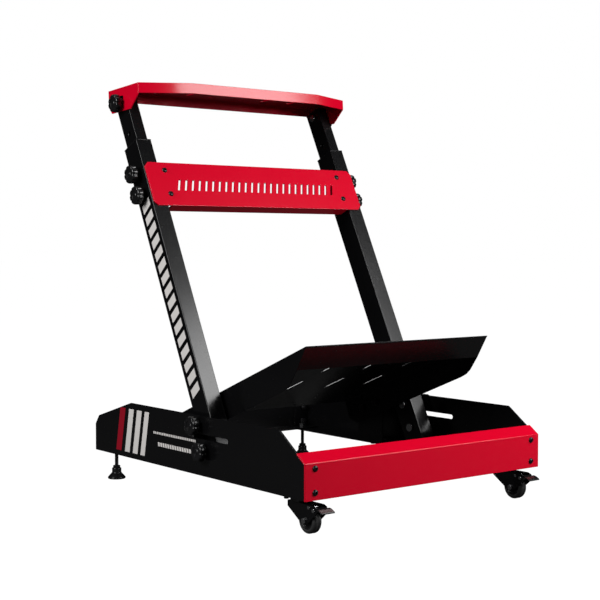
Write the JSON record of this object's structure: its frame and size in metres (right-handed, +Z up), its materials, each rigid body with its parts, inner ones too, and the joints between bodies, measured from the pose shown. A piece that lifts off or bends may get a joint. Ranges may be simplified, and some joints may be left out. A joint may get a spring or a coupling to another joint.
{
  "type": "racing wheel stand",
  "caption": "Free-standing stand for a racing wheel and pedals, with a folded sheet base, leaning telescopic uprights, a tilting wheel deck, a tilting pedal tray, castors and levelling feet.",
  "frame": {"origin": "on the floor in the middle of the stand's footprint, under the middle of its overall box", "axes": "+Z up, -Y towards the front beam and the castors, +Y towards the person, +X to the person's left"},
  "size_m": [0.592, 0.7232, 0.7981],
  "materials": {
    "red_coat": "satin powder coat",
    "black_coat": "satin powder coat",
    "black_plastic": "fine grain",
    "black_steel": "black zinc plated",
    "zinc_steel": "zinc plated",
    "tyre_rubber": "dark elastic tyre"
  },
  "bodies": {
    "base": {"side_plate_left": "black_coat", "side_plate_right": "black_coat", "front_beam": "red_coat", "rear_crossmember": "black_coat", "beam_screws": "black_steel", "rear_screws": "black_steel", "tray_bracket_left": "black_coat", "tray_bracket_right": "black_coat", "bracket_screws": "black_steel", "tray_pivot_bolts": "black_steel", "castor_plates": "black_coat", "castor_screws": "black_steel", "foot_nuts": "black_steel"},
    "uprights": {"upright_tube_left": "black_coat", "upright_tube_right": "black_coat", "guide_sleeve_left": "black_plastic", "guide_sleeve_right": "black_plastic", "cross_panel": "red_coat", "panel_brackets": "black_coat", "panel_screws": "black_steel", "weld_nuts": "black_steel", "foot_spacers": "black_steel", "foot_bolts": "zinc_steel", "foot_washers": "black_steel"},
    "extension": {"inner_tube_left": "black_coat", "inner_tube_right": "black_coat", "slide_blocks": "black_plastic", "tube_caps": "black_plastic", "deck_bolts": "zinc_steel"},
    "deck": {"wheel_deck": "red_coat"},
    "tray": {"pedal_tray": "black_coat", "tray_clamp_bolts": "black_steel"},
    "height_knob_left_upper_body": {"height_knob_left_upper": "black_plastic", "height_stud_left_upper": "zinc_steel"},
    "height_knob_left_lower_body": {"height_knob_left_lower": "black_plastic", "height_stud_left_lower": "zinc_steel"},
    "deck_knob_left_body": {"deck_knob_left": "black_plastic"},
    "tilt_knob_left_body": {"tilt_knob_left": "black_plastic"},
    "pivot_knob_left_body": {"pivot_knob_left": "black_plastic"},
    "castor_fork_left_body": {"castor_fork_left": "black_coat", "castor_pins_left": "zinc_steel"},
    "castor_wheel_left_body": {"castor_wheel_left": "tyre_rubber"},
    "brake_pedal_left_body": {"brake_pedal_left": "black_coat"},
    "levelling_foot_left_body": {"foot_stem_left": "black_steel", "foot_pad_left": "black_plastic"},
    "height_knob_right_upper_body": {"height_knob_right_upper": "black_plastic", "height_stud_right_upper": "zinc_steel"},
    "height_knob_right_lower_body": {"height_knob_right_lower": "black_plastic", "height_stud_right_lower": "zinc_steel"},
    "deck_knob_right_body": {"deck_knob_right": "black_plastic"},
    "tilt_knob_right_body": {"tilt_knob_right": "black_plastic"},
    "pivot_knob_right_body": {"pivot_knob_right": "black_plastic"},
    "castor_fork_right_body": {"castor_fork_right": "black_coat", "castor_pins_right": "zinc_steel"},
    "castor_wheel_right_body": {"castor_wheel_right": "tyre_rubber"},
    "brake_pedal_right_body": {"brake_pedal_right": "black_coat"},
    "levelling_foot_right_body": {"foot_stem_right": "black_steel", "foot_pad_right": "black_plastic"}
  },
  "joints": [
    {"name": "upright_tilt", "type": "hinge", "parent": "base", "child": "uprights", "pos_m": [0, -0.04265, 0.106], "axis": [1, 0, 0], "range_deg": [-7, 7]},
    {"name": "height_slide", "type": "slide", "parent": "uprights", "child": "extension", "axis": [0, 0.4446, 0.8957], "range_m": [-0.046, 0.138]},
    {"name": "deck_tilt", "type": "hinge", "parent": "extension", "child": "deck", "pos_m": [0, 0.28193, 0.75987], "axis": [1, 0, 0], "range_deg": [-10, 15]},
    {"name": "tray_tilt", "type": "hinge", "parent": "base", "child": "tray", "pos_m": [0, 0.09513, 0.13375], "axis": [1, 0, 0], "range_deg": [-5.5, 5.5]},
    {"name": "height_knob_left_upper_turn", "type": "hinge", "parent": "uprights", "child": "height_knob_left_upper_body", "pos_m": [-0.2765, 0.21035, 0.61566], "axis": [1, 0, 0], "continuous": true},
    {"name": "height_knob_left_lower_turn", "type": "hinge", "parent": "uprights", "child": "height_knob_left_lower_body", "pos_m": [-0.2765, 0.18989, 0.57446], "axis": [1, 0, 0], "continuous": true},
    {"name": "deck_knob_left_turn", "type": "hinge", "parent": "extension", "child": "deck_knob_left_body", "pos_m": [-0.2705, 0.28193, 0.75987], "axis": [1, 0, 0], "continuous": true},
    {"name": "tilt_knob_left_turn", "type": "hinge", "parent": "uprights", "child": "tilt_knob_left_body", "pos_m": [-0.289, -0.02042, 0.15079], "axis": [1, 0, 0], "continuous": true},
    {"name": "pivot_knob_left_turn", "type": "hinge", "parent": "uprights", "child": "pivot_knob_left_body", "pos_m": [-0.289, -0.04265, 0.106], "axis": [1, 0, 0], "continuous": true},
    {"name": "castor_swivel_left", "type": "hinge", "parent": "base", "child": "castor_fork_left_body", "pos_m": [-0.247, -0.28765, 0.054], "axis": [0, 0, 1], "continuous": true},
    {"name": "castor_roll_left", "type": "hinge", "parent": "castor_fork_left_body", "child": "castor_wheel_left_body", "pos_m": [-0.247, -0.31365, 0.0225], "axis": [1, 0, 0], "continuous": true},
    {"name": "brake_pedal_left_tilt", "type": "hinge", "parent": "castor_fork_left_body", "child": "brake_pedal_left_body", "pos_m": [-0.247, -0.33765, 0.043], "axis": [1, 0, 0], "range_deg": [-3, 8]},
    {"name": "levelling_foot_left_screw", "type": "slide", "parent": "base", "child": "levelling_foot_left_body", "axis": [0, 0, 1], "range_m": [-0.008, 0.012]},
    {"name": "height_knob_right_upper_turn", "type": "hinge", "parent": "uprights", "child": "height_knob_right_upper_body", "pos_m": [0.2765, 0.21035, 0.61566], "axis": [1, 0, 0], "continuous": true},
    {"name": "height_knob_right_lower_turn", "type": "hinge", "parent": "uprights", "child": "height_knob_right_lower_body", "pos_m": [0.2765, 0.18989, 0.57446], "axis": [1, 0, 0], "continuous": true},
    {"name": "deck_knob_right_turn", "type": "hinge", "parent": "extension", "child": "deck_knob_right_body", "pos_m": [0.2705, 0.28193, 0.75987], "axis": [1, 0, 0], "continuous": true},
    {"name": "tilt_knob_right_turn", "type": "hinge", "parent": "uprights", "child": "tilt_knob_right_body", "pos_m": [0.289, -0.02042, 0.15079], "axis": [1, 0, 0], "continuous": true},
    {"name": "pivot_knob_right_turn", "type": "hinge", "parent": "uprights", "child": "pivot_knob_right_body", "pos_m": [0.289, -0.04265, 0.106], "axis": [1, 0, 0], "continuous": true},
    {"name": "castor_swivel_right", "type": "hinge", "parent": "base", "child": "castor_fork_right_body", "pos_m": [0.247, -0.28765, 0.054], "axis": [0, 0, 1], "continuous": true},
    {"name": "castor_roll_right", "type": "hinge", "parent": "castor_fork_right_body", "child": "castor_wheel_right_body", "pos_m": [0.247, -0.31365, 0.0225], "axis": [1, 0, 0], "continuous": true},
    {"name": "brake_pedal_right_tilt", "type": "hinge", "parent": "castor_fork_right_body", "child": "brake_pedal_right_body", "pos_m": [0.247, -0.33765, 0.043], "axis": [1, 0, 0], "range_deg": [-3, 8]},
    {"name": "levelling_foot_right_screw", "type": "slide", "parent": "base", "child": "levelling_foot_right_body", "axis": [0, 0, 1], "range_m": [-0.008, 0.012]}
  ]
}
